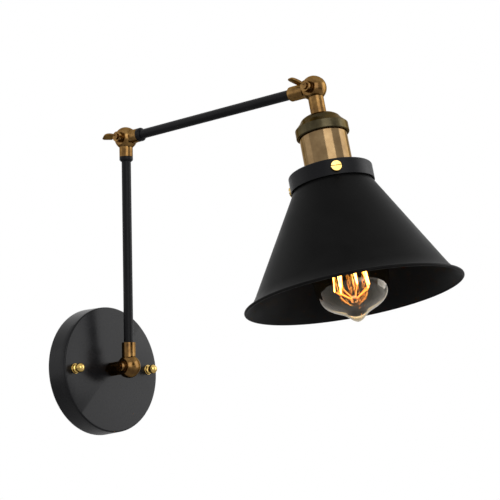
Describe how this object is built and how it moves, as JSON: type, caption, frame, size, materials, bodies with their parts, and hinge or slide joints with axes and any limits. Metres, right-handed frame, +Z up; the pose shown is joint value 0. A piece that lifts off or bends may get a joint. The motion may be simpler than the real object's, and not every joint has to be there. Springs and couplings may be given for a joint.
{
  "type": "swing-arm wall lamp",
  "caption": "Wall lamp with a round canopy, two folding arms on clamped ball knuckles with wing screws, and a conical shade over a teardrop bulb.",
  "frame": {"origin": "centre of the canopy's open back and of the two wall slots, on the wall surface", "axes": "+X to the right along the wall, -Y straight out of the wall into the room, +Z up; the arms and the head lie in the YZ plane at rest"},
  "size_m": [0.1824, 0.4012, 0.2914],
  "materials": {
    "black_paint": "satin black powder coat",
    "aged_brass": "polished antique brass, lacquered",
    "bright_brass": "polished brass",
    "zinc_steel": "zinc plated",
    "contact_brass": "plain",
    "lead_sheath": "heat-resistant sheath",
    "connector_plastic": "matte",
    "insert_plastic": "glossy, heat resistant",
    "amber_glass": "clear amber glass",
    "clear_glass": "clear",
    "black_insulator": "black glass-like insulator",
    "cap_metal": "rolled thin brass",
    "filament": "glowing filament",
    "support_wire": "fine wire"
  },
  "bodies": {
    "wall": {"wall_bracket": "zinc_steel", "fixing_screws": "zinc_steel", "earth_screw": "contact_brass", "terminal_block": "connector_plastic", "terminal_screws": "contact_brass", "canopy": "black_paint", "cap_nuts": "bright_brass", "wall_stem": "aged_brass", "stem_washer": "zinc_steel", "stem_locknut": "zinc_steel", "canopy_lead": "lead_sheath"},
    "lower_arm": {"wall_fork": "aged_brass", "wall_washer": "aged_brass", "lower_tube": "black_paint", "lower_lead": "lead_sheath", "elbow_fork": "aged_brass", "elbow_washer": "aged_brass", "lower_ferrule": "black_paint"},
    "upper_arm": {"elbow_tongue": "aged_brass", "upper_ferrule": "black_paint", "upper_tube": "black_paint", "upper_lead": "lead_sheath", "head_tongue": "aged_brass"},
    "head": {"head_fork": "aged_brass", "head_washer": "aged_brass", "socket_cap": "aged_brass", "neck_locknut": "zinc_steel", "socket_shell": "aged_brass", "socket_insert": "insert_plastic", "screw_shell": "contact_brass", "centre_contact": "contact_brass", "terminal_posts": "contact_brass", "post_screws": "contact_brass", "head_lead": "lead_sheath", "gallery": "black_paint", "gallery_screws": "aged_brass", "shade_ring": "zinc_steel", "shade": "black_paint", "bulb_glass": "amber_glass", "bulb_cap": "cap_metal", "bulb_insulator": "black_insulator", "bulb_contact": "contact_brass", "bulb_stem": "clear_glass", "filament": "filament", "filament_supports": "support_wire"},
    "wall_wing": {"wall_wing_screw": "aged_brass"},
    "elbow_wing": {"elbow_wing_screw": "aged_brass"},
    "head_wing": {"head_wing_screw": "aged_brass"}
  },
  "joints": [
    {"name": "wall_knuckle", "type": "hinge", "parent": "wall", "child": "lower_arm", "pos_m": [0, -0.044, 0], "axis": [1, 0, 0], "range_deg": [-6, 95]},
    {"name": "elbow_knuckle", "type": "hinge", "parent": "lower_arm", "child": "upper_arm", "pos_m": [0, -0.05935, 0.21946], "axis": [1, 0, 0], "range_deg": [-100, 10]},
    {"name": "head_knuckle", "type": "hinge", "parent": "upper_arm", "child": "head", "pos_m": [0, -0.28913, 0.20943], "axis": [1, 0, 0], "range_deg": [-170, 15]},
    {"name": "wall_wing_turn", "type": "hinge", "parent": "lower_arm", "child": "wall_wing", "pos_m": [0, -0.044, 0], "axis": [-1, 0, 0], "range_deg": [-20, 180]},
    {"name": "elbow_wing_turn", "type": "hinge", "parent": "lower_arm", "child": "elbow_wing", "pos_m": [0, -0.05935, 0.21946], "axis": [-1, 0, 0], "range_deg": [-20, 180]},
    {"name": "head_wing_turn", "type": "hinge", "parent": "head", "child": "head_wing", "pos_m": [0, -0.28913, 0.20943], "axis": [-1, 0, 0], "range_deg": [-20, 180]}
  ]
}
